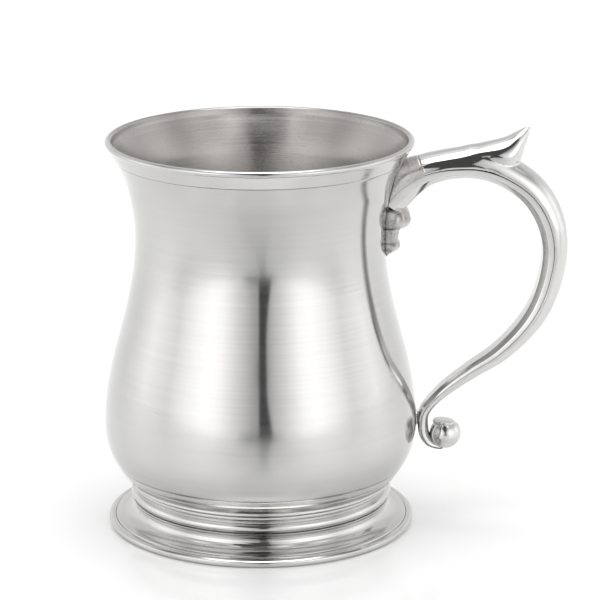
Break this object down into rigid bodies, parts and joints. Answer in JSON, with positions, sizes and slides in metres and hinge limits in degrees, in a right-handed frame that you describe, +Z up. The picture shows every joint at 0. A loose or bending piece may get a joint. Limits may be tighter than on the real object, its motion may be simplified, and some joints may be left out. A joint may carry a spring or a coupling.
{
  "type": "tankard",
  "caption": "Lidless bell-shaped pewter tankard on a moulded spreading foot, with a hollow scroll handle, thumb rest and ball end.",
  "frame": {"origin": "on the plane that the tankard stands on, under the middle of its box; the vessel's axis is at x = -23 mm", "axes": "+Z is up along the vessel's axis, +X points toward the handle, and the handle lies in the XZ plane"},
  "size_m": [0.1432, 0.0972, 0.1255],
  "materials": {
    "satin_pewter": "satin",
    "rim_pewter": "satin",
    "polished_pewter": "gloss",
    "handle_pewter": "polished",
    "cast_pewter": "matte",
    "solder": "matte"
  },
  "bodies": {
    "root": {"body_wall": "satin_pewter", "mouth_ring": "rim_pewter", "base_cup": "polished_pewter", "base_solder": "solder", "foot_collar": "polished_pewter", "foot_spread": "polished_pewter", "foot_edge": "polished_pewter", "handle_root": "cast_pewter", "handle_drop": "cast_pewter", "handle_front": "handle_pewter", "handle_back": "handle_pewter", "handle_ball": "handle_pewter", "lower_stud": "cast_pewter", "upper_solder": "solder"}
  },
  "joints": []
}
